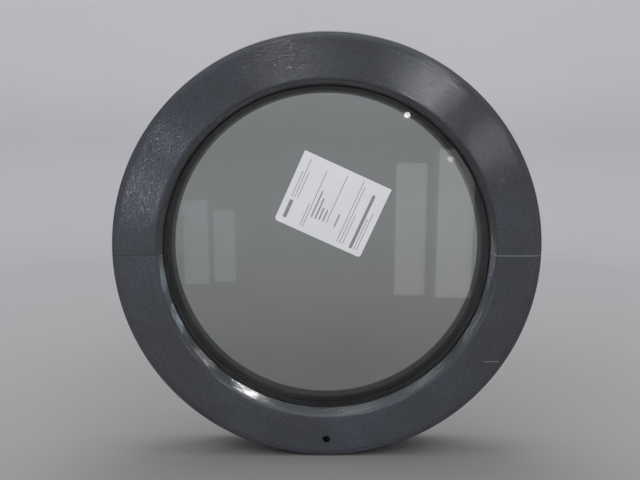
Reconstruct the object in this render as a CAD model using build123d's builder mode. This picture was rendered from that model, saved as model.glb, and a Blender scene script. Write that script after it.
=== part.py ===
# Round fixed window: bent hollow frame, sealed double glazing, clip-in bead, gaskets and blocks.
#
# The window's axis is Y. The exterior face looks along -Y and the interior face along +Y. X points
# right and Z up when the window is seen from outside. The origin is the centre of the ring, half way
# through its depth. Every section is drawn with the radius along X and the depth along Y, and is
# turned about the Y axis. Depths are counted from the exterior face.

import os
from math import cos, radians, sin, sqrt

from build123d import *

# Ring and hollow profile, in millimetres
ring_diameter = 600.0
frame_depth = 70.0
body_width = 47.0
visible_wall = 3.0
inner_wall = 2.5
web_thickness = 1.6
rim_bevel_width = 8.0
rim_bevel_depth = 3.3
interior_bevel = 2.0

# Glazing lip on the exterior side
lip_height = 19.7
lip_depth = 22.0
lip_slope = 3.5
crease_bevel = 2.0

# Notch along the weld between the two bent halves
seam_width = 1.6
seam_depth = 0.5

# Drainage at the lowest point: a bore in the face and a slot in the rebate floor
drain_bore_diameter = 11.0
drain_bore_drop = 20.0
drain_slot_length = 25.0
drain_slot_width = 4.5
drain_slot_margin = 1.25

# Sealed glass unit
pane_edge_gap = 5.5
outer_pane_thickness = 4.0
cavity_width = 16.0
inner_pane_thickness = 4.0
edge_seal_height = 11.5

# Gaskets on both sides of the glass unit
front_gasket_thickness = 4.0
front_gasket_width = 10.0
front_gasket_proud = 1.3
rear_gasket_thickness = 3.0
rear_gasket_width = 7.0

# Glazing bead, clipped into a groove of the rebate floor
bead_rise = 25.4
bead_slope = 1.6
bead_bevel = 2.2
bead_clearance = 0.2
bead_foot_width = 3.6
bead_foot_depth = 4.8
bead_foot_setback = 5.7

# Glazing blocks, as angles from the lowest point
block_length = 60.0
block_width = 26.0
block_angles = {
    "setting_block_left": -30.0,
    "setting_block_right": 30.0,
    "location_block_left": -125.0,
    "location_block_right": 125.0,
}

# Adhesive label on the outer pane
label_length = 134.0
label_width = 107.0
label_thickness = 0.2
label_corner_round = 4.5
label_fall_angle = 24.4
label_centre_x = 8.7
label_centre_z = 68.9

# Radii of the frame
outer_radius = ring_diameter / 2
floor_radius = outer_radius - body_width
lip_radius = floor_radius - lip_height
crease_radius = lip_radius + lip_slope

# Depths of the glass unit
pane_radius = floor_radius - pane_edge_gap
unit_front = lip_depth + front_gasket_thickness
cavity_front = unit_front + outer_pane_thickness
cavity_rear = cavity_front + cavity_width
unit_rear = cavity_rear + inner_pane_thickness
front_gasket_inner = lip_radius - front_gasket_proud

# Depths and radii of the bead and of the groove that takes its foot
bead_front = unit_rear + rear_gasket_thickness
bead_tip_radius = floor_radius - bead_rise
bead_front_radius = bead_tip_radius + bead_slope
bead_seat = floor_radius - bead_clearance
foot_rear = frame_depth - bead_foot_setback
foot_front = foot_rear - bead_foot_width
foot_outer = floor_radius + bead_foot_depth
groove_bottom = foot_outer + bead_clearance

# The exterior face as a drawing plane, with X right and Z up
exterior = Plane(origin=(0, -frame_depth / 2, 0), x_dir=(1, 0, 0), z_dir=(0, -1, 0))


def at_depth(depth):
    """Place on the Y axis of a depth counted from the exterior face."""
    return depth - frame_depth / 2


def band(inner, outer, front, rear, mode=Mode.ADD):
    """A rectangle between two radii and two depths, for the open sketch."""
    with Locations(((inner + outer) / 2, at_depth((front + rear) / 2))):
        Rectangle(outer - inner, rear - front, mode=mode)


def frame_profile():
    """Section of the extruded frame: outline, groove for the bead's foot, and stepped chambers."""
    with BuildSketch() as profile:
        with BuildLine():
            Polyline(
                (outer_radius, at_depth(rim_bevel_depth)),
                (outer_radius - rim_bevel_width, at_depth(0)),
                (crease_radius, at_depth(0)),
                (lip_radius, at_depth(lip_depth)),
                (floor_radius, at_depth(lip_depth)),
                (floor_radius, at_depth(frame_depth)),
                (outer_radius, at_depth(frame_depth)),
                close=True,
            )
        make_face()
        crease = (crease_radius, at_depth(0), 0)
        chamfer(profile.vertices().sort_by_distance(crease)[0], crease_bevel)
        interior_corner = (outer_radius, at_depth(frame_depth), 0)
        chamfer(profile.vertices().sort_by_distance(interior_corner)[0], interior_bevel)
        groove_front = foot_front - bead_clearance
        groove_rear = foot_rear + bead_clearance
        band(floor_radius, groove_bottom, groove_front, groove_rear, mode=Mode.SUBTRACT)
        # The front chamber drains the rebate and reaches into the lip. Behind a web, the main
        # chamber steps round the groove.
        lip_step = lip_depth - inner_wall
        web_front = lip_depth + drain_slot_width + 2 * drain_slot_margin
        groove_step = groove_front - inner_wall
        chambers = (
            (crease_radius + visible_wall, visible_wall, lip_step),
            (floor_radius + inner_wall, lip_step, web_front),
            (floor_radius + inner_wall, web_front + web_thickness, groove_step),
            (groove_bottom + inner_wall, groove_step, frame_depth - visible_wall),
        )
        for inner, front, rear in chambers:
            band(inner, outer_radius - visible_wall, front, rear, mode=Mode.SUBTRACT)
    return profile.sketch


def seam_notches():
    """Two long V-shaped cutters that mark the welds on the exterior and interior faces."""
    with BuildPart() as notches:
        for face, inward in ((0, 1), (frame_depth, -1)):
            with BuildSketch(Plane.YZ):
                with BuildLine():
                    Polyline(
                        (at_depth(face), -seam_width / 2),
                        (at_depth(face), seam_width / 2),
                        (at_depth(face) + inward * seam_depth, 0),
                        close=True,
                    )
                make_face()
            extrude(amount=outer_radius, both=True)
    return notches.part


def drain_cutters():
    """A bore through the face and a slot through the rebate floor, both into the front chamber."""
    with BuildPart() as cutters:
        with BuildSketch(exterior):
            with Locations((0, -(floor_radius + drain_bore_drop))):
                Circle(drain_bore_diameter / 2)
        extrude(amount=-(visible_wall + drain_slot_margin))
        slot_depth = lip_depth + drain_slot_margin + drain_slot_width / 2
        with BuildSketch(Plane.XY.offset(-floor_radius)):
            with Locations((0, at_depth(slot_depth))):
                SlotOverall(drain_slot_length, drain_slot_width)
        extrude(amount=inner_wall + drain_slot_margin, both=True)
    return cutters.part


def half_ring_axis(side):
    """The turning axis that makes the upper (+1) or the lower (-1) half ring from a section."""
    return Axis((0, 0, 0), (0, -side, 0))


def write(part, name):
    """Labels a finished piece and writes it under its name."""
    part.label = name
    export_step(part, f"parts/{name}.step")


os.makedirs("parts", exist_ok=True)

# Frame: two bent halves, welded end to end on the horizontal diameter
frame_section = frame_profile()

with BuildPart() as frame_upper_half:
    with BuildSketch():
        add(frame_section)
    revolve(axis=half_ring_axis(1), revolution_arc=180)
    add(seam_notches(), mode=Mode.SUBTRACT)
write(frame_upper_half.part, "frame_upper_half")

with BuildPart() as frame_lower_half:
    with BuildSketch():
        add(frame_section)
    revolve(axis=half_ring_axis(-1), revolution_arc=180)
    add(seam_notches(), mode=Mode.SUBTRACT)
    add(drain_cutters(), mode=Mode.SUBTRACT)
write(frame_lower_half.part, "frame_lower_half")

# Front gasket: a soft strip between the lip and the outer pane
with BuildPart() as front_gasket:
    with BuildSketch():
        band(front_gasket_inner, front_gasket_inner + front_gasket_width, lip_depth, unit_front)
    revolve(axis=Axis.Y)
write(front_gasket.part, "front_gasket")

# Glass unit: two panes held apart by a soft spacer with its sealant
with BuildPart() as outer_pane:
    with BuildSketch(exterior.offset(-unit_front)):
        Circle(pane_radius)
    extrude(amount=-outer_pane_thickness)
write(outer_pane.part, "outer_pane")

with BuildPart() as inner_pane:
    with BuildSketch(exterior.offset(-cavity_rear)):
        Circle(pane_radius)
    extrude(amount=-inner_pane_thickness)
write(inner_pane.part, "inner_pane")

with BuildPart() as spacer_ring:
    with BuildSketch():
        band(pane_radius - edge_seal_height, pane_radius, cavity_front, cavity_rear)
    revolve(axis=Axis.Y)
write(spacer_ring.part, "spacer_ring")

# Rear gasket: a flat ring between the inner pane and the bead
with BuildPart() as rear_gasket:
    with BuildSketch():
        band(bead_front_radius, bead_front_radius + rear_gasket_width, unit_rear, bead_front)
    revolve(axis=Axis.Y)
write(rear_gasket.part, "rear_gasket")

# Glazing bead: a profile with a clip foot, bent in two halves
with BuildSketch() as bead_section:
    with BuildLine():
        Polyline(
            (bead_seat, at_depth(bead_front)),
            (bead_front_radius, at_depth(bead_front)),
            (bead_tip_radius, at_depth(frame_depth)),
            (bead_seat, at_depth(frame_depth)),
            close=True,
        )
    make_face()
    bead_corner = (bead_tip_radius, at_depth(frame_depth), 0)
    chamfer(bead_section.vertices().sort_by_distance(bead_corner)[0], bead_bevel)
    band(bead_seat, foot_outer, foot_front, foot_rear)

for side, name in ((1, "glazing_bead_upper"), (-1, "glazing_bead_lower")):
    with BuildPart() as glazing_bead:
        with BuildSketch():
            add(bead_section.sketch)
        revolve(axis=half_ring_axis(side), revolution_arc=180)
    write(glazing_bead.part, name)

# Glazing blocks: flat packers that touch the unit at mid length and the rebate floor at both ends
block_seat = sqrt(floor_radius**2 - (block_length / 2) ** 2)
block_thickness = block_seat - pane_radius
block_middle = (unit_front + unit_rear) / 2
for name, angle in block_angles.items():
    outward = (sin(radians(angle)), 0, -cos(radians(angle)))
    block_plane = Plane(
        origin=(pane_radius * outward[0], at_depth(block_middle), pane_radius * outward[2]),
        x_dir=(0, 1, 0),
        z_dir=outward,
    )
    with BuildPart() as block:
        with BuildSketch(block_plane):
            Rectangle(block_width, block_length)
        extrude(amount=block_thickness)
    write(block.part, name)

# Label: stuck askew on the outer pane, its two lower corners rounded
label_x = (cos(radians(label_fall_angle)), 0, -sin(radians(label_fall_angle)))
label_plane = Plane(
    origin=(label_centre_x, at_depth(unit_front), label_centre_z), x_dir=label_x, z_dir=(0, -1, 0)
)
with BuildPart() as glass_label:
    with BuildSketch(label_plane):
        Rectangle(label_length, label_width)
    extrude(amount=label_thickness)
    lower_corners = glass_label.edges().filter_by(Axis.Y).sort_by(Axis.Z)[:2]
    fillet(lower_corners, label_corner_round)
write(glass_label.part, "glass_label")
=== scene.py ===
# %% [markdown]
# # A round window in Blender
#
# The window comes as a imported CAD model: a bent hollow frame in two welded halves, a sealed pair of
# panes, gaskets and a clip-in bead. This lesson gives it the surfaces of the real thing. The solids
# are loaded first, and every new piece takes its place from their boxes.

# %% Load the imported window
from math import atan2, cos, pi, radians, sin, tan

import bmesh
import bpy
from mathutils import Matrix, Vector
from mathutils.geometry import tessellate_polygon


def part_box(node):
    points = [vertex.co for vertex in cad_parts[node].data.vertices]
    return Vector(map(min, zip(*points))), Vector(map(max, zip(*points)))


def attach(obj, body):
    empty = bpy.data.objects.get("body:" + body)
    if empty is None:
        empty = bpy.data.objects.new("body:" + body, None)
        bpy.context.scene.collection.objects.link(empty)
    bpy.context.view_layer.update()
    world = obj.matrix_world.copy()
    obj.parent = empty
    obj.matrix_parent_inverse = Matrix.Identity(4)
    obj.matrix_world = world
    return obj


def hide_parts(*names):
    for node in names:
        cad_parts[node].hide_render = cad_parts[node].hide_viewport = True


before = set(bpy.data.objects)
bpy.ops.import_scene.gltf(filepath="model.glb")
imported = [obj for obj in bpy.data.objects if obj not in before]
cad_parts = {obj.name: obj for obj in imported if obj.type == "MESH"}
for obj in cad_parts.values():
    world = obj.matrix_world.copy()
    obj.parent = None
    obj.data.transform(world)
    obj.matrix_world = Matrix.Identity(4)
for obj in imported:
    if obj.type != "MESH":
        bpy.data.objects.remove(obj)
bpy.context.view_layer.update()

MM = 0.001
print("nodes:", sorted(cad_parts))

# %% [markdown]
# ## Camera
#
# A camera can be placed by eye, or worked out from circles in the photograph: each edge of the
# ring is a circle of known size at its own depth, so its ellipse says where the lens was. The
# second way is used here. The lens stood a little left of the middle and 132 mm above it, about
# 0.74 m from the face, and looked slightly down.

# %% Camera
photo_width = 640
focal_pixels = 540.0
camera_place = Vector((-0.0086, -0.7738, 0.1321))
camera_tilt_down = 0.148
camera_turn = 0.001

camera_data = bpy.data.cameras.new("camera")
camera_data.sensor_width = 36.0
camera_data.lens = focal_pixels / photo_width * camera_data.sensor_width
camera = bpy.data.objects.new("camera", camera_data)
camera.location = camera_place
camera.rotation_euler = (pi / 2 - camera_tilt_down, 0, camera_turn)
bpy.context.collection.objects.link(camera)
bpy.context.scene.camera = camera
bpy.context.scene.view_settings.view_transform = "Standard"
print("lens in mm:", camera_data.lens)

# %% [markdown]
# ## Shader maths in plain Python
#
# A node tree can be wired by hand, socket by socket, but a formula is easier to read as a formula.
# `Wire` wraps one socket, and Python's operators on it add Math nodes. `Finish` holds one material,
# and its `node` method makes every other node: its settings first, then its inputs.

# %% Wire and Finish
class Wire:
    """One output socket of a material, open to Python's operators."""

    def __init__(self, finish, socket):
        self.finish = finish
        self.socket = socket

    def also(self, output):
        """Another output of the same node."""
        return Wire(self.finish, self.socket.node.outputs[output])

    def __add__(self, other):
        return self.finish.math("ADD", self, other)

    def __sub__(self, other):
        return self.finish.math("SUBTRACT", self, other)

    def __rsub__(self, other):
        return self.finish.math("SUBTRACT", other, self)

    def __mul__(self, other):
        return self.finish.math("MULTIPLY", self, other)

    def __gt__(self, other):
        return self.finish.math("GREATER_THAN", self, other)

    def __lt__(self, other):
        return self.finish.math("LESS_THAN", self, other)

    def __abs__(self):
        return self.finish.math("ABSOLUTE", self)

    __radd__ = __add__
    __rmul__ = __mul__


class Finish:
    """A material, built node by node."""

    def __init__(self, name):
        self.material = bpy.data.materials.new(name)
        self.material.use_nodes = True
        self.tree = self.material.node_tree
        self.tree.nodes.clear()

    def node(self, kind, settings=None, inputs=None, output=0):
        """Adds a node. A ramp's stops are (position, grey) pairs; other settings are its properties."""
        made = self.tree.nodes.new(kind)
        for name, value in (settings or {}).items():
            if name == "stops":
                ramp = made.color_ramp.elements
                while len(ramp) < len(value):
                    ramp.new(0.5)
                for stop, (position, grey) in zip(ramp, value):
                    stop.position = position
                    stop.color = (grey, grey, grey, 1)
            else:
                setattr(made, name, value)
        for name, value in (inputs or {}).items():
            if isinstance(value, Wire):
                self.tree.links.new(value.socket, made.inputs[name])
            else:
                made.inputs[name].default_value = value
        return Wire(self, made.outputs[output]) if made.outputs else None

    def math(self, operation, *values):
        """Any Math node."""
        return self.node("ShaderNodeMath", {"operation": operation}, dict(enumerate(values)))

    def mix(self, factor, colour, other):
        """A colour between two others."""
        return self.node(
            "ShaderNodeMix", {"data_type": "RGBA"}, {0: factor, 6: colour, 7: other}, output=2
        )

    def place(self):
        """X, Y and Z of the shaded point in the window's own frame, in metres."""
        point = self.node("ShaderNodeTexCoord", output="Object")
        x = self.node("ShaderNodeSeparateXYZ", inputs={0: point})
        return x, x.also("Y"), x.also("Z")

    def vector(self, x, y, z):
        """A vector from three numbers, which may be wires."""
        return self.node("ShaderNodeCombineXYZ", inputs={0: x, 1: y, 2: z})

    def noise(self, vector, scale, detail=2.0, roughness=0.5):
        """Noise between 0 and 1, with so many cells to the metre."""
        return self.node(
            "ShaderNodeTexNoise",
            inputs={"Vector": vector, "Scale": scale, "Detail": detail, "Roughness": roughness},
        )

    def ramp(self, value, *stops):
        """A grey that follows a value between 0 and 1 through (position, grey) stops."""
        return self.node("ShaderNodeValToRGB", {"stops": stops}, {0: value})

    def bump(self, height, distance):
        """A normal from a height between 0 and 1 that stands for the distance in metres."""
        return self.node("ShaderNodeBump", inputs={"Height": height, "Distance": distance})

    def finish_with(self, shader):
        """Puts the shader on the surface and hands over the material."""
        self.node("ShaderNodeOutputMaterial", inputs={"Surface": shader})
        print("finish", self.material.name, "has", len(self.tree.nodes), "nodes")
        return self.material


def round_the_axis(finish):
    """Distance from the window's axis, depth, and arc length round the ring at mid width."""
    x, y, z = finish.place()
    radius = finish.math("SQRT", x * x + z * z)
    arc = finish.math("ARCTAN2", z, x) * ring_middle
    return radius, y, arc


# %% [markdown]
# ## Sizes from the solids
#
# Every measure that a CAD box can give is read from it. What lies inside a box, such as the slope
# of the lip, is a named size of the profile.

# %% Sizes
frame_low, frame_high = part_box("frame_upper_half")
gasket_low, gasket_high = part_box("front_gasket")
rear_gasket_low, rear_gasket_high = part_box("rear_gasket")
spacer_low, spacer_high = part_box("spacer_ring")
bead_low, bead_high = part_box("glazing_bead_upper")

ring_radius = frame_high.x
face_y = frame_low.y
room_y = frame_high.y
lip_y = gasket_low.y
pane_radius = spacer_high.x
foot_outer = bead_high.x

body_width = 47 * MM
lip_height = 19.7 * MM
lip_slope = 3.5 * MM
crease_round = 4.5 * MM
rim_bevel_width = 8 * MM
rim_bevel_depth = 3.3 * MM
rim_shoulder_round = 28 * MM
rim_edge_round = 4 * MM
interior_round = 2 * MM
visible_wall = 3 * MM
inner_wall = 2.5 * MM
web_thickness = 1.6 * MM

floor_radius = ring_radius - body_width
lip_radius = floor_radius - lip_height
crease_radius = lip_radius + lip_slope
ring_middle = (ring_radius + crease_radius) / 2

bead_rise = 25.4 * MM
bead_slope = 1.6 * MM
bead_round = 3 * MM
bead_clearance = 0.2 * MM
bead_foot_width = 3.6 * MM
bead_foot_setback = 5.7 * MM
bead_tip_radius = floor_radius - bead_rise
bead_seat = floor_radius - bead_clearance
foot_rear = room_y - bead_foot_setback
foot_front = foot_rear - bead_foot_width

drain_bore_diameter = 11 * MM
drain_bore_drop = 20 * MM
drain_slot_length = 25 * MM
drain_slot_width = 4.5 * MM
drain_slot_margin = 1.25 * MM

seam_width = 1.6 * MM
seam_depth = 0.5 * MM
print("ring radius", ring_radius, "lip radius", lip_radius, "depth", room_y - face_y)

# %% [markdown]
# ## A lathe for rings
#
# Every long piece of this window is one section bent round the same axis. Blender's Spin or Screw
# could turn a profile, but neither closes a hollow half ring at its ends or gives each facet of
# the section its own finish. So the rings are turned in mesh code. A section is a closed loop of
# corners, and a corner with a radius becomes an arc, because no extruded edge is sharp. A support
# point on each side of an arc keeps the flat sides flat when the mesh is shaded smooth.

# %% Sections with round corners
arc_steps = 6
support = 0.6 * MM


def outline(*corners):
    """Points (radius, y, finish) of a loop of corners (radius, y, round, finish of the next side)."""
    points = []
    for i, (radius, y, rounding, side) in enumerate(corners):
        here = Vector((radius, y))
        previous = corners[i - 1]
        following = corners[(i + 1) % len(corners)]
        if rounding == 0:
            points.append((radius, y, side))
            continue
        to_previous = (Vector(previous[:2]) - here).normalized()
        to_next = (Vector(following[:2]) - here).normalized()
        half_angle = to_previous.angle(to_next) / 2
        centre = here + (to_previous + to_next).normalized() * (rounding / sin(half_angle))
        start = here + to_previous * (rounding / tan(half_angle)) - centre
        turn_angle = pi - 2 * half_angle
        if start.x * to_previous.y - start.y * to_previous.x > 0:
            turn_angle = -turn_angle
        arc = []
        for step in range(arc_steps + 1):
            angle = turn_angle * step / arc_steps
            turned_x = start.x * cos(angle) - start.y * sin(angle)
            turned_y = start.x * sin(angle) + start.y * cos(angle)
            arc.append(centre + Vector((turned_x, turned_y)))
        arc = [arc[0] + to_previous * support] + arc + [arc[-1] + to_next * support]
        for k, point in enumerate(arc):
            points.append((point.x, point.y, previous[3] if k == 0 else side))
    return points


print("points in a round corner:", arc_steps + 3)

# %% [markdown]
# A half ring gets caps with the chambers left open, as a sawn profile has. Near its ends the faces
# dip by half a millimetre: the weld's bead is trimmed there with a grooving knife.

# %% The lathe
stations_per_half = 200
sharp_angle = radians(28)


def weld_dip(arc_from_end, y):
    """How far the trimmed weld draws a point in from the exterior or the interior face."""
    dip = seam_depth * max(0.0, 1 - arc_from_end / (seam_width / 2))
    if y < face_y + rim_bevel_depth:
        return dip
    if y > room_y - interior_round:
        return -dip
    return 0.0


def stations(side):
    """Angles of the sections of a ring (side 0) or half ring, with one more beside each weld."""
    if side == 0:
        count = 2 * stations_per_half
        return [2 * pi * i / count for i in range(count)]
    first = 0 if side > 0 else pi
    angles = [first + pi * i / stations_per_half for i in range(stations_per_half + 1)]
    notch = seam_width / 2 / ring_middle
    return [angles[0], angles[0] + notch, *angles[1:-1], angles[-1] - notch, angles[-1]]


def made_object(name, maker):
    """Turns mesh code into an object whose faces all look outwards."""
    bmesh.ops.recalc_face_normals(maker, faces=maker.faces)
    mesh = bpy.data.meshes.new(name)
    maker.to_mesh(mesh)
    maker.free()
    piece = bpy.data.objects.new(name, mesh)
    bpy.context.collection.objects.link(piece)
    return piece


def turned(name, loops, finishes, side=0, welded=False):
    """A ring (side 0) or its upper (+1) or lower (-1) half, turned from one or more closed loops."""
    angles = stations(side)
    maker = bmesh.new()
    rings = []
    for angle in angles:
        from_end = min(angle - angles[0], angles[-1] - angle) * ring_middle
        ring = []
        for loop in loops:
            for radius, y, _ in loop:
                depth = y + (weld_dip(from_end, y) if welded else 0)
                ring.append(maker.verts.new((radius * cos(angle), depth, radius * sin(angle))))
        rings.append(ring)
    spans = list(zip(rings, rings[1:] + rings[:1])) if side == 0 else list(zip(rings, rings[1:]))
    for near, far in spans:
        start = 0
        for loop in loops:
            for i, point in enumerate(loop):
                j = (i + 1) % len(loop)
                corners = (near[start + i], near[start + j], far[start + j], far[start + i])
                maker.faces.new(corners).material_index = point[2]
            start += len(loop)
    if side != 0:
        flat = [[Vector((radius, y, 0)) for radius, y, _ in loop] for loop in loops]
        for ring in (rings[0], rings[-1]):
            for triangle in tessellate_polygon(flat):
                cap = maker.faces.new([ring[k] for k in triangle])
                cap.material_index = len(finishes) - 1
    piece = made_object(name, maker)
    for material in finishes:
        piece.data.materials.append(material)
    piece.data.shade_smooth()
    piece.data.set_sharp_from_angle(angle=sharp_angle)
    print(name, "has", len(piece.data.polygons), "faces")
    return piece


def stands_for(piece, node):
    """Puts a new piece in the place of a CAD node."""
    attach(piece, "root")
    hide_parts(node)


# %% [markdown]
# ## Grained foil
#
# The frame is plastic profile wrapped in a dark grey foil with an embossed grain. The grain runs
# along the profile, so after bending it runs round the ring, and lamps draw short radial patches
# of sparkle on the face. An image would repeat and stretch. Noise in ring coordinates, radius and
# arc length, follows the bend everywhere, and a bump from it makes the sparkle.

# %% Foil
plastic_ior = 1.5
foil_colour = (0.042, 0.045, 0.053, 1)
foil_pale = (0.054, 0.060, 0.072, 1)
pore_colour = (0.012, 0.013, 0.016, 1)
# Weld lines: a dark line of painted shade in the left groove. The pale line on the right one is partly
# whitened plastic and partly a painted highlight.
weld_whitening_and_highlight_colour = (0.2, 0.21, 0.22, 1)
weld_shade_colour = (0.008, 0.008, 0.009, 1)
# Near-black colour of the painted shade on the slope and the bead.
recess_shade_colour = (0.006, 0.006, 0.007, 1)
scratch_colour = (0.25, 0.25, 0.26, 1)
dust_colour = (0.34, 0.34, 0.34, 1)
foil_roughness, pore_roughness, edge_roughness = 0.07, 0.06, 0.3
weld_share, dust_share, recess_shade_share = 0.6, 0.5, 0.45
streak_scale, grain_scale, pore_scale, drift_scale, speck_scale = 1050, 960, 420, 9, 85
streak_stretch, grain_stretch, grain_share = 0.12, 0.45, 0.22
dust_reach, dust_gate = 0.04, 0.55
recess_shade_rise, recess_shade_fall = 45, 40
edge_reach = 10 * MM
weld_highlight_offset = 0.4 * MM
grain_height = 0.3 * MM
ripple_height = 0.16 * MM
ripple_pitch = 38 * MM
ripple_crest = 281 * MM
scratch_x, scratch_z, scratch_slant = 235 * MM, -154 * MM, 0.03
scratch_length, scratch_width = 23 * MM, 1 * MM


def foil_finish(name, dullness=0.0):
    """The foil, dulled by some amount where it lies away from the weather."""
    finish = Finish(name)
    radius, y, arc = round_the_axis(finish)
    on_ring = finish.vector(radius, y, arc)
    streaks = finish.noise(finish.vector(radius, y, arc * streak_stretch), streak_scale, detail=1.0)
    grain = finish.noise(
        finish.vector(radius, y, arc * grain_stretch), grain_scale, detail=1.0, roughness=0.6
    )
    pores = finish.noise(on_ring, pore_scale, detail=1.0)
    drift = finish.noise(on_ring, drift_scale)
    ripple = finish.math("SINE", (radius - ripple_crest) * (2 * pi / ripple_pitch))
    height = streaks + grain * grain_share + ripple * (ripple_height / grain_height)
    edge = finish.ramp((radius - ring_radius) * (1 / edge_reach) + 1, (0.2, 0), (0.65, 1))

    x, y, z = finish.place()
    # Painted highlight and painted shade on the welds: pale on the right, dark on the left.
    weld_whitening_and_highlight = finish.ramp(abs(z + weld_highlight_offset) * (1 / MM), (0.3, 1), (1.0, 0)) * (x > 0)
    painted_weld_shade = finish.ramp(abs(z) * (1 / MM), (0.2, 1), (0.8, 0)) * (x < 0)
    specks = finish.node("ShaderNodeTexVoronoi", inputs={"Vector": on_ring, "Scale": speck_scale})
    dust = (specks < dust_reach) * (pores > dust_gate)

    colour = finish.mix(finish.ramp(drift, (0.35, 0), (0.7, 1)), foil_colour, foil_pale)
    colour = finish.mix(finish.ramp(grain, (0.36, 0.45), (0.6, 0)), colour, pore_colour)
    colour = finish.mix(weld_whitening_and_highlight * weld_share, colour, weld_whitening_and_highlight_colour)
    colour = finish.mix(painted_weld_shade * weld_share, colour, weld_shade_colour)
    scratch_along = finish.math("COMPARE", x, scratch_x, scratch_length / 2)
    scratch_line = z - (x - scratch_x) * scratch_slant
    scratch_across = finish.math("COMPARE", scratch_line, scratch_z, scratch_width / 2)
    scratch = scratch_along * scratch_across * (y < 0) * pores
    colour = finish.mix(scratch, colour, scratch_colour)
    colour = finish.mix(dust * dust_share, colour, dust_colour)
    # Painted shade: the foil darkens down the slope from the crease to the glass, and on the bead's
    # inner face towards the glass, where shade falls.
    painted_recess_shade = finish.ramp((y - face_y) * recess_shade_rise, (0.05, 0), (0.9, 1)) * (radius < crease_radius)
    painted_recess_shade = painted_recess_shade * finish.ramp(y * recess_shade_fall, (0.2, 1), (0.8, 0))
    colour = finish.mix(painted_recess_shade * recess_shade_share, colour, recess_shade_colour)
    shader = finish.node(
        "ShaderNodeBsdfPrincipled",
        inputs={
            "Base Color": colour,
            "Roughness": foil_roughness + pores * pore_roughness + edge * edge_roughness + dullness,
            "IOR": plastic_ior,
            "Specular IOR Level": 0.5 - dullness,
            "Normal": finish.bump(height, grain_height),
        },
    )
    return finish.finish_with(shader)


foil = foil_finish("foil")
bead_foil = foil_finish("bead_foil", dullness=0.3)

# %% [markdown]
# ## Bare profile
#
# The foil covers only what shows once the window is built in. The rim, the rebate and the chambers
# are bare plastic, dyed dark grey through, with faint lines from the extrusion die.

# %% Bare profile
core_colour = (0.042, 0.044, 0.048, 1)
core_rubbed = (0.075, 0.077, 0.081, 1)
core_roughness, rubbed_roughness = 0.36, 0.22
die_line_stretch, die_line_scale, rub_scale = 0.004, 900, 26
die_line_height = 0.06 * MM


def core_finish():
    """Bare extruded plastic, a little paler where it was rubbed."""
    finish = Finish("profile_core")
    radius, y, arc = round_the_axis(finish)
    lines = finish.noise(finish.vector(radius, y, arc * die_line_stretch), die_line_scale)
    rubs = finish.noise(finish.vector(radius, y, arc), rub_scale, detail=4.0, roughness=0.6)
    colour = finish.mix(finish.ramp(rubs, (0.4, 0), (0.75, 1)), core_colour, core_rubbed)
    shader = finish.node(
        "ShaderNodeBsdfPrincipled",
        inputs={
            "Base Color": colour,
            "Roughness": core_roughness + rubs * rubbed_roughness,
            "IOR": plastic_ior,
            "Normal": finish.bump(lines, die_line_height),
        },
    )
    return finish.finish_with(shader)


core = core_finish()

# %% [markdown]
# ## Frame
#
# Two half rings, welded at three and nine o'clock. The section keeps the chambers of the solid,
# because the drain bore looks into the front one.

# %% Frame section
FOIL, CORE = 0, 1
lip_round = 0.5 * MM
joint_round = 0.4 * MM
groove_front = foot_front - bead_clearance
groove_rear = foot_rear + bead_clearance
groove_bottom = foot_outer + bead_clearance
web_front = lip_y + drain_slot_width + 2 * drain_slot_margin
rim_wall = ring_radius - visible_wall
floor_wall = floor_radius + inner_wall
groove_wall = groove_bottom + inner_wall
lip_wall = crease_radius + visible_wall

frame_outline = outline(
    (ring_radius, face_y + rim_bevel_depth, rim_edge_round, FOIL),
    (ring_radius - rim_bevel_width, face_y, rim_shoulder_round, FOIL),
    (crease_radius, face_y, crease_round, FOIL),
    (lip_radius, lip_y, lip_round, CORE),
    (floor_radius, lip_y, 0, CORE),
    (floor_radius, groove_front, 0, CORE),
    (groove_bottom, groove_front, 0, CORE),
    (groove_bottom, groove_rear, 0, CORE),
    (floor_radius, groove_rear, 0, CORE),
    (floor_radius, room_y, joint_round, FOIL),
    (ring_radius, room_y, interior_round, CORE),
)
front_chamber = outline(
    (lip_wall, face_y + visible_wall, 0, CORE),
    (lip_wall, lip_y - inner_wall, 0, CORE),
    (floor_wall, lip_y - inner_wall, 0, CORE),
    (floor_wall, web_front, 0, CORE),
    (rim_wall, web_front, 0, CORE),
    (rim_wall, face_y + visible_wall, 0, CORE),
)
main_chamber = outline(
    (floor_wall, web_front + web_thickness, 0, CORE),
    (floor_wall, groove_front - inner_wall, 0, CORE),
    (groove_wall, groove_front - inner_wall, 0, CORE),
    (groove_wall, room_y - visible_wall, 0, CORE),
    (rim_wall, room_y - visible_wall, 0, CORE),
    (rim_wall, web_front + web_thickness, 0, CORE),
)
frame_loops = [frame_outline, front_chamber, main_chamber]
upper = turned("upper_frame", frame_loops, [foil, core], side=1, welded=True)
lower = turned("lower_frame", frame_loops, [foil, core], side=-1, welded=True)

# %% [markdown]
# The drain bore and slot are cut as a workshop cuts them, by a drill and a router: two solid
# cutters and Blender's Boolean modifier, applied at once. The bore's edge is slightly broken.

# %% Drainage
bore_edge = 0.35 * MM
drill_clearance = 1 * MM
drill_sides = 48
router_end_steps = 12


def cut(piece, cutter):
    """Takes a cutter out of a piece and deletes the cutter."""
    modifier = piece.modifiers.new("cut", "BOOLEAN")
    modifier.operation = "DIFFERENCE"
    modifier.solver = "EXACT"
    modifier.object = cutter
    bpy.context.view_layer.update()
    evaluated = piece.evaluated_get(bpy.context.evaluated_depsgraph_get())
    result = bpy.data.meshes.new_from_object(evaluated)
    piece.modifiers.clear()
    piece.data = result
    bpy.data.objects.remove(cutter)


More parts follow.
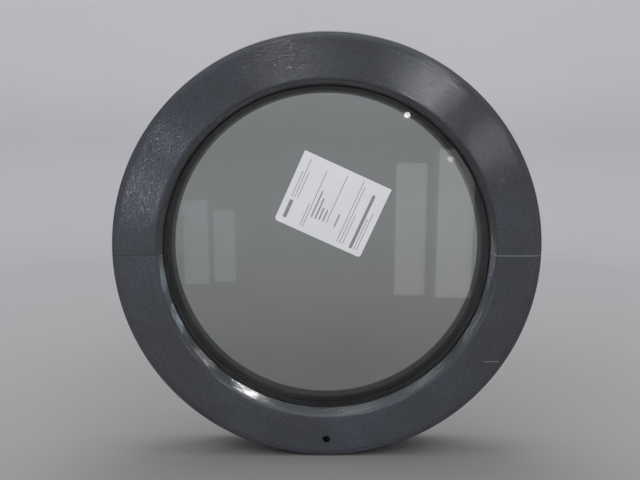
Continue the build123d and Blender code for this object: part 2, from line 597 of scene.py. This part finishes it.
def lofted(name, rows, far_end=True):
    """An object of quads between rows of points, closed by its first row and maybe by its last."""
    maker = bmesh.new()
    loops = [[maker.verts.new(point) for point in row] for row in rows]
    for near, far in zip(loops, loops[1:]):
        for k in range(len(near)):
            j = (k + 1) % len(near)
            maker.faces.new((near[k], near[j], far[j], far[k]))
    maker.faces.new(loops[0])
    if far_end:
        maker.faces.new(loops[-1])
    return made_object(name, maker)


def drill():
    """A rod along Y with a short flare where it leaves the face."""
    radius = drain_bore_diameter / 2
    centre_z = -floor_radius - drain_bore_drop
    rows = []
    for y, r in (
        (face_y - drill_clearance, radius + bore_edge + drill_clearance),
        (face_y + bore_edge, radius),
        (face_y + visible_wall + drain_slot_margin, radius),
    ):
        angles = [2 * pi * k / drill_sides for k in range(drill_sides)]
        rows.append([(r * cos(angle), y, r * sin(angle) + centre_z) for angle in angles])
    return lofted("drill", rows)


def router():
    """An upright stadium through the rebate floor."""
    end_radius = drain_slot_width / 2
    reach = drain_slot_length / 2 - end_radius
    middle_y = lip_y + drain_slot_margin + end_radius
    half_height = inner_wall + drain_slot_margin
    outer_line = []
    for end in (1, -1):
        for k in range(router_end_steps + 1):
            angle = -pi / 2 + pi * k / router_end_steps
            x = end * (reach + end_radius * cos(angle))
            outer_line.append((x, middle_y + end * end_radius * sin(angle)))
    floor_z = -floor_radius
    levels = (floor_z - half_height, floor_z + half_height)
    return lofted("router", [[(x, y, z) for x, y in outer_line] for z in levels])


cut(lower, drill())
cut(lower, router())
lower.data.set_sharp_from_angle(angle=sharp_angle)
stands_for(upper, "frame_upper_half")
stands_for(lower, "frame_lower_half")
print("lower frame after the drain cuts:", len(lower.data.polygons), "faces")

# %% [markdown]
# ## Gaskets, spacer and bead
#
# The gaskets are soft extrusions with a dull skin and a fine uneven sheen: black in front, very dark
# grey at the back, where the same rubber is painted paler as painted light. The spacer between the
# panes is black foam, rougher still. One helper makes all three finishes, because they differ only
# in colour, gloss and grain.

# %% Rubber and foam
bloom_gain, bloom_scale = 2.2, 34
skin_stretch, skin_roughness = 0.3, 0.15
skin_height = 0.02 * MM


def rubber_finish(name, colour, roughness, scale):
    """A dull skin with a pale bloom in places."""
    finish = Finish(name)
    radius, y, arc = round_the_axis(finish)
    skin = finish.noise(finish.vector(radius, y, arc * skin_stretch), scale, detail=3.0)
    bloom = finish.noise(finish.vector(radius, y, arc), bloom_scale, detail=3.0)
    pale = tuple(c * bloom_gain for c in colour[:3]) + (1,)
    shader = finish.node(
        "ShaderNodeBsdfPrincipled",
        inputs={
            "Base Color": finish.mix(finish.ramp(bloom, (0.45, 0), (0.8, 1)), colour, pale),
            "Roughness": roughness + skin * skin_roughness,
            "Specular IOR Level": 0.25,
            "Normal": finish.bump(skin, skin_height),
        },
    )
    return finish.finish_with(shader)


gasket_rubber = rubber_finish("gasket_rubber", (0.008, 0.008, 0.009, 1), 0.42, 900)
# The back seal is painted paler than the black front rubber: painted light.
rear_rubber_painted_lit = rubber_finish("rear_rubber_painted_lit", (0.022, 0.022, 0.024, 1), 0.5, 900)
spacer_foam = rubber_finish("spacer_foam", (0.010, 0.010, 0.011, 1), 0.7, 1600)

# %% [markdown]
# The real strips are cut from a coil and pushed in, and their joints don't show. So each becomes a
# closed ring, turned on the same lathe. Only the inner corners are seen, so only they are rounded.

# %% Rings between frame and glass
soft_edge = 0.9 * MM
edge_seal_height = 11.5 * MM
front_gasket_proud = 1.3 * MM


def strip(name, node, inner_radius, low, high, finish):
    """A ring of rectangular section inside a node's box, with its two inner corners rounded."""
    section = outline(
        (inner_radius, low.y, soft_edge, 0),
        (high.x, low.y, 0, 0),
        (high.x, high.y, 0, 0),
        (inner_radius, high.y, soft_edge, 0),
    )
    piece = turned(name, [section], [finish])
    stands_for(piece, node)
    return piece


strip(
    "front_seal",
    "front_gasket",
    lip_radius - front_gasket_proud,
    gasket_low,
    gasket_high,
    gasket_rubber,
)
rear_gasket = strip(
    "rear_seal",
    "rear_gasket",
    bead_tip_radius + bead_slope,
    rear_gasket_low,
    rear_gasket_high,
    rear_rubber_painted_lit,
)
spacer = strip(
    "spacer_strip",
    "spacer_ring",
    pane_radius - edge_seal_height,
    spacer_low,
    spacer_high,
    spacer_foam,
)

# %% [markdown]
# The bead clips into a groove and presses the glass unit forward. It wears the frame's foil where
# it faces the room, and is bare plastic where it touches the frame. Like the frame it is bent in
# two halves, so that it can be pressed in.

# %% Bead
bead_outline = outline(
    (bead_seat, bead_low.y, 0, CORE),
    (bead_tip_radius + bead_slope, bead_low.y, lip_round, FOIL),
    (bead_tip_radius, room_y, bead_round, FOIL),
    (bead_seat, room_y, joint_round, CORE),
    (bead_seat, foot_rear, 0, CORE),
    (foot_outer, foot_rear, 0, CORE),
    (foot_outer, foot_front, 0, CORE),
    (bead_seat, foot_front, 0, CORE),
)
beads = []
for side, name, node in (
    (1, "upper_bead", "glazing_bead_upper"),
    (-1, "lower_bead", "glazing_bead_lower"),
):
    bead = turned(name, [bead_outline], [bead_foil, core], side=side)
    stands_for(bead, node)
    beads.append(bead)

# %% [markdown]
# ## Glass
#
# Glass could be a Glass shader that bends and absorbs light, but two flat panes barely shift what
# is behind them, and lamps have to shine through without a dark shadow. So each face passes light
# through a tint and mirrors a share of it by Fresnel. The tint is darker than clear glass: partly
# its own grey-green, partly painted shade behind the window. Only a pane's near face mirrors, for both.

# %% Glass
# The tint is partly the glass's own and partly painted shade behind the window.
pane_tint_and_shade = (0.797, 0.808, 0.795, 1)
film_dust = (0.8, 0.8, 0.78, 1)
glass_ior, glass_roughness = 1.5, 0.02
film_scale = 7


def glass_finish():
    """Clear on the way through, a mirror at its near face, with a thin film of dust."""
    finish = Finish("glass")
    x, y, z = finish.place()
    film = finish.noise(finish.vector(x, y, z), film_scale, detail=4.0, roughness=0.6)
    haze = finish.ramp(film, (0.42, 0.004), (0.75, 0.03))
    dust = finish.node("ShaderNodeBsdfDiffuse", inputs={"Color": film_dust})
    mirror = finish.node(
        "ShaderNodeBsdfGlossy", inputs={"Color": (1, 1, 1, 1), "Roughness": glass_roughness}
    )
    clear = finish.node("ShaderNodeBsdfTransparent", inputs={"Color": pane_tint_and_shade})
    near_face = 1 - finish.node("ShaderNodeNewGeometry", output="Backfacing")
    share = finish.node("ShaderNodeFresnel", inputs={"IOR": glass_ior}) * near_face
    shader = finish.node("ShaderNodeMixShader", inputs={0: share, 1: clear, 2: mirror})
    shader = finish.node("ShaderNodeMixShader", inputs={0: haze * near_face, 1: shader, 2: dust})
    return finish.finish_with(shader)


glass = glass_finish()


def wear(node, material):
    """Gives a CAD node that keeps its own mesh a finish."""
    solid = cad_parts[node]
    solid.data.materials.clear()
    solid.data.materials.append(material)


wear("outer_pane", glass)
wear("inner_pane", glass)

# %% [markdown]
# ## Blocks
#
# The blocks that carry the glass are plain moulded packers, hidden in the rebate. Their solids are
# already right, so they keep their own mesh and only get a finish.

# %% Blocks
packer_colour = (0.20, 0.22, 0.25, 1)
packer_pale = (0.30, 0.32, 0.34, 1)
packer_roughness, speck_roughness = 0.45, 0.15
packer_speck_scale, packer_speck_height = 300, 0.2 * MM


def block_finish():
    """Moulded plastic with a fine speckle."""
    finish = Finish("packer_plastic")
    x, y, z = finish.place()
    speck = finish.noise(finish.vector(x, y, z), packer_speck_scale, detail=3.0)
    shader = finish.node(
        "ShaderNodeBsdfPrincipled",
        inputs={
            "Base Color": finish.mix(speck, packer_colour, packer_pale),
            "Roughness": packer_roughness + speck * speck_roughness,
            "Normal": finish.bump(speck, packer_speck_height),
        },
    )
    return finish.finish_with(shader)


packer = block_finish()
for kind in ("setting", "location"):
    for side in ("left", "right"):
        wear(f"{kind}_block_{side}", packer)

# %% [markdown]
# ## Label
#
# The label is coated paper, a little cockled. An image could carry its print, but these are only
# plain grey rules on the front. Each is a box in the label's own coordinates, and two Compare nodes
# cut it out. Together they say where the ink goes.

# %% Label
label_length = 134 * MM
label_width = 107 * MM
label_fall_angle = radians(24.4)
label_low, label_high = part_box("glass_label")
label_centre = (label_low + label_high) / 2
fine_rule, bold_rule, lower_bar, upper_bar = 0.45 * MM, 0.95 * MM, 2.2 * MM, 2.6 * MM
# Place along the label and start and end across it in millimetres, and half thickness, of each rule
print_rules = (
    (11, 8, 35, upper_bar),
    (9, 39, 78, fine_rule),
    (13, 40, 98, fine_rule),
    (17.5, 41, 81, fine_rule),
    (36, 6, 41, fine_rule),
    (40, 6, 92, fine_rule),
    (46, 24, 64, bold_rule),
    (52, 24, 55, bold_rule),
    (57.5, 25, 43, bold_rule),
    (63.5, 25, 42, bold_rule),
    (69, 25, 98, fine_rule),
    (81.5, 24, 44, bold_rule),
    (93.5, 6, 101, fine_rule),
    (98, 6, 94, fine_rule),
    (102.5, 6, 52, fine_rule),
    (115, 6, 88, lower_bar),
    (120.5, 6, 54, fine_rule),
    (124.5, 7, 65, fine_rule),
)
paper_colour = (0.86, 0.86, 0.875, 1)
paper_crest_light = (0.92, 0.92, 0.93, 1)
ink_colour = (0.10, 0.10, 0.11, 1)
ink_share, fibre_share = 0.75, 0.05
fibre_scale, cockle_scale, cockle_height = 700, 22, 0.6 * MM
paper_roughness, fibre_roughness = 0.5, 0.1


def label_finish():
    """White coated paper with printed rules."""
    finish = Finish("label_paper")
    x, y, z = finish.place()
    from_x, from_z = x - label_centre.x, z - label_centre.z
    along = from_x * cos(label_fall_angle) - from_z * sin(label_fall_angle) + label_length / 2
    across = from_x * sin(label_fall_angle) + from_z * cos(label_fall_angle) + label_width / 2
    ink = 0.0
    for place, start, end, half in print_rules:
        middle, reach = (start + end) / 2 * MM, (end - start) / 2 * MM
        rule = finish.math("COMPARE", along, place * MM, half)
        rule = rule * finish.math("COMPARE", across, middle, reach)
        ink = finish.math("MAXIMUM", rule, ink)
    ink = ink * (y < label_centre.y)
    fibres = finish.noise(finish.vector(x, y, z), fibre_scale, detail=4.0)
    cockle = finish.noise(finish.vector(x, y, z), cockle_scale)
    # Painted light and shade: the paper is paler where the cockles rise.
    paper = finish.mix(cockle, paper_colour, paper_crest_light)
    shader = finish.node(
        "ShaderNodeBsdfPrincipled",
        inputs={
            "Base Color": finish.mix(ink * ink_share, paper, ink_colour),
            "Roughness": paper_roughness + fibres * fibre_roughness,
            "Normal": finish.bump(fibres * fibre_share + cockle, cockle_height),
        },
    )
    return finish.finish_with(shader)


wear("glass_label", label_finish())

# %% [markdown]
# ## Stage
#
# A pale floor that sweeps up into a pale wall, as a photographer's paper does. It is turned round
# the vertical axis, so it shows the same quiet ground from every side.

# %% Stage
floor_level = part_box("frame_lower_half")[0].z
floor_flat = 1.75
sweep_radius = 0.55
wall_top = 2.2
floor_colours = (0.265, 0.257, 0.242, 1), (0.305, 0.297, 0.282, 1)
wall_colours = (0.60, 0.59, 0.60, 1), (0.66, 0.655, 0.67, 1)
tone_scale = 1.1
sweep_steps = 12
stage_sides = 96


def stage_finish():
    """Matt paint that grows paler away from the window and up the wall."""
    finish = Finish("stage_paint")
    x, y, z = finish.place()
    tone = finish.noise(finish.vector(x, y, z), tone_scale)
    reach = finish.math("SQRT", x * x + y * y)
    outwards = finish.ramp(reach * 0.42, (0.15, 0), (0.9, 0.65))
    upwards = finish.ramp(z + 0.2, (0, 0), (0.7, 0.35))
    floor_paint = finish.mix(tone, *floor_colours)
    wall_paint = finish.mix(tone, *wall_colours)
    shader = finish.node(
        "ShaderNodeBsdfPrincipled",
        inputs={
            "Base Color": finish.mix(outwards + upwards, floor_paint, wall_paint),
            "Roughness": 0.85,
            "Specular IOR Level": 0.2,
        },
    )
    return finish.finish_with(shader)


stage_profile = [(floor_flat, floor_level)]
for step in range(1, sweep_steps + 1):
    angle = pi / 2 * step / sweep_steps
    rise = sweep_radius * (1 - cos(angle))
    stage_profile.append((floor_flat + sweep_radius * sin(angle), floor_level + rise))
stage_profile.append((floor_flat + sweep_radius, floor_level + wall_top))

stage_angles = [2 * pi * k / stage_sides for k in range(stage_sides)]
stage_rows = [[(r * cos(a), r * sin(a), z) for a in stage_angles] for r, z in stage_profile]
bowl = lofted("stage_bowl", stage_rows, far_end=False)
bowl.data.materials.append(stage_finish())
bowl.data.shade_smooth()
print("stage_bowl has", len(bowl.data.polygons), "faces")

# %% [markdown]
# ## Light
#
# A highlight says where its lamp is: in the mirrored direction of the view. So most lamps are
# placed backwards, from a spot on the ring where the photograph shows a highlight. To move lamps
# about until it looks right would take many renders. Such a lamp lights only one group of pieces,
# so that it leaves the floor alone.

# %% Groups of pieces that share lamps
def group(name, *pieces):
    """A collection outside the scene, for the pieces that one set of lamps lights."""
    made = bpy.data.collections.new(name)
    for piece in pieces:
        made.objects.link(piece)
    return made


foiled = group("foiled", upper, lower)
glazed = group("glazed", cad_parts["outer_pane"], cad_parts["inner_pane"])
papered = group("papered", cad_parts["glass_label"])
inner_rings = group("inner_rings", *beads, rear_gasket, spacer)
print("groups:", [made.name for made in (foiled, glazed, papered, inner_rings)])

# %% [markdown]
# A soft lamp is an area lamp that looks at a target, and the camera doesn't see it. A mirrored lamp
# works out its own place from the spot where its highlight has to fall.

# %% Lamps
def soft_lamp(name, place, target, size, power, colour=(1, 1, 1), lights_only=None, tall=1):
    """A soft lamp at a place, turned to a target. It may light one group of pieces only."""
    data = bpy.data.lights.new(name, "AREA")
    data.shape = "ELLIPSE" if tall == 1 else "RECTANGLE"
    data.size = size
    data.size_y = size * tall
    data.energy = power
    data.color = colour
    lamp = bpy.data.objects.new(name, data)
    lamp.location = place
    lamp.rotation_euler = (target - place).to_track_quat("-Z", "Y").to_euler()
    lamp.visible_camera = False
    lamp.light_linking.receiver_collection = lights_only
    bpy.context.collection.objects.link(lamp)
    return lamp


def mirrored_lamp(name, clock, radius, depth, lean, distance, size, power, colour, lights_only, tall=1):
    """A lamp whose highlight, seen from the camera, falls on one spot of the ring.

    The spot is given by its clock angle, its radius and its depth. Lean is the angle between the
    surface there and the window's exterior face.
    """
    outward = Vector((sin(radians(clock)), 0, cos(radians(clock))))
    spot = outward * radius + Vector((0, depth, 0))
    normal = -outward * sin(lean) - Vector((0, cos(lean), 0))
    view = (camera_place - spot).normalized()
    towards_lamp = 2 * view.dot(normal) * normal - view
    soft_lamp(name, spot + towards_lamp * distance, spot, size, power, colour, lights_only, tall)


# %% [markdown]
# Three strips of the ring catch the light: the flat face, the rounded shoulder outside it and the
# slope down to the glass. Each has its own lean, and so its own row of lamps.

# %% Highlights on the ring
shoulder_middle = ring_radius - rim_bevel_width
shoulder_share = 0.6
shoulder_lean = atan2(rim_bevel_depth, rim_bevel_width) * shoulder_share
lamp_far, lamp_near = 2.0, 1.3
pin_size, small_size, middle_size, broad_size = 0.03, 0.06, 0.1, 0.2
ring_centre = Vector((0, 0, 0))
pane_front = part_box("outer_pane")[0].y
slope_lean = pi / 2 - atan2(lip_slope, lip_y - face_y)
slope_spot = ((crease_radius + lip_radius) / 2, (face_y + lip_y) / 2, slope_lean)
warm, plain, cool, rosy = (1, 0.985, 0.96), (1, 1, 1), (0.80, 0.90, 1), (1, 0.94, 0.98)

for name, clock, size, power, colour in (
    ("top", 347.5, small_size, 1.15, plain),
    ("right", 32, small_size, 2.9, warm),
    ("low_right", 55.5, small_size, 1, warm),
    ("left", 289, broad_size, 1.1, cool),
    ("high_left", 306, middle_size, 0.6, cool),
):
    spot = (clock, ring_middle, face_y, 0)
    mirrored_lamp(f"face_lamp_{name}", *spot, lamp_far, size, power, colour, foiled)
for name, clock, power, colour in (
    ("top", 348, 0.9, plain),
    ("right", 31, 1.6, warm),
    ("low_right", 55, 0.6, warm),
):
    spot = (clock, shoulder_middle, face_y, -shoulder_lean)
    mirrored_lamp(f"shoulder_lamp_{name}", *spot, lamp_far, small_size, power, colour, foiled)
for name, clock, radius, power in (
    ("right", 30, 223 * MM, 0.03),
    ("low_right", 52.7, 219 * MM, 0.01),
):
    spot = (clock, radius, pane_front, 0)
    mirrored_lamp(f"pane_spot_{name}", *spot, lamp_far, pin_size, power, warm, glazed)
for name, clock, power, colour in (
    ("low", 171, 0.7, rosy),
    ("low_left", 209, 9, rosy),
    ("left", 229, 1.1, rosy),
    ("high_left", 246, 0.9, cool),
    ("far_left", 262, 0.5, cool),
    ("far_right", 94, 0.6, cool),
    ("low_right", 141, 0.9, cool),
    ("right", 117, 0.8, cool),
):
    spot = (clock, *slope_spot)
    mirrored_lamp(f"slope_lamp_{name}", *spot, lamp_near, middle_size, power, colour, foiled)
mirrored_lamp(
    "slope_sheen",
    155,
    *slope_spot,
    distance=1.5,
    size=1.7,
    power=4.2,
    colour=(0.82, 0.92, 1),
    lights_only=foiled,
    tall=0.25,
)
print("mirrored lamps:", len(bpy.data.lights))

# %% [markdown]
# The rest is room light: a large lamp above, two weak fills near the face that aren't mirrored,
# one lamp that keeps the label white, two that reach the inner rings, and tall cards that the glass
# mirrors as soft panels. The world fills the shadows evenly.

# %% Room light
above = Vector((0, 0.3, 1.9))
soft_lamp("lamp_above", above, ring_centre, size=1.4, power=20, colour=(0.93, 0.94, 1))
for name, place, target, power in (
    ("low", Vector((0, -0.55, -0.14)), Vector((0, 0, -0.27)), 0.95),
    ("left", Vector((-0.35, -0.5, -0.08)), Vector((-0.27, 0, -0.04)), 0.33),
):
    fill = soft_lamp(f"fill_{name}", place, target, 0.25, power, plain, lights_only=foiled)
    fill.visible_glossy = False
reader = Vector((0.3, -1.6, 1.2))
soft_lamp("label_lamp", reader, ring_centre, size=0.6, power=10, lights_only=papered)
for name, x, power in (("left", -1.6, 100), ("right", 1.6, 110)):
    place = Vector((x, -0.55, -0.1))
    soft_lamp(f"reveal_lamp_{name}", place, ring_centre, 0.4, power, rosy, lights_only=inner_rings)
for name, x, z, width, tall, power, colour in (
    ("right_a", 0.245, -0.065, 0.085, 4.4, 0.11, plain),
    ("right_b", 0.37, -0.05, 0.10, 4.2, 0.17, plain),
    ("left_a", -0.28, -0.11, 0.06, 3.4, 0.03, cool),
    ("left_b", -0.36, -0.10, 0.07, 3.4, 0.04, cool),
):
    place = Vector((x, -0.75, z))
    soft_lamp(f"card_{name}", place, Vector((x, 0, z)), width, power, colour, glazed, tall)
print("lamps:", len(bpy.data.lights))

world_colour = (0.93, 0.95, 1, 1)
world_strength = 1.2
world = bpy.data.worlds.new("world")
bpy.context.scene.world = world
world.use_nodes = True
background = world.node_tree.nodes["Background"]
background.inputs["Color"].default_value = world_colour
background.inputs["Strength"].default_value = world_strength
print("world strength:", world_strength)
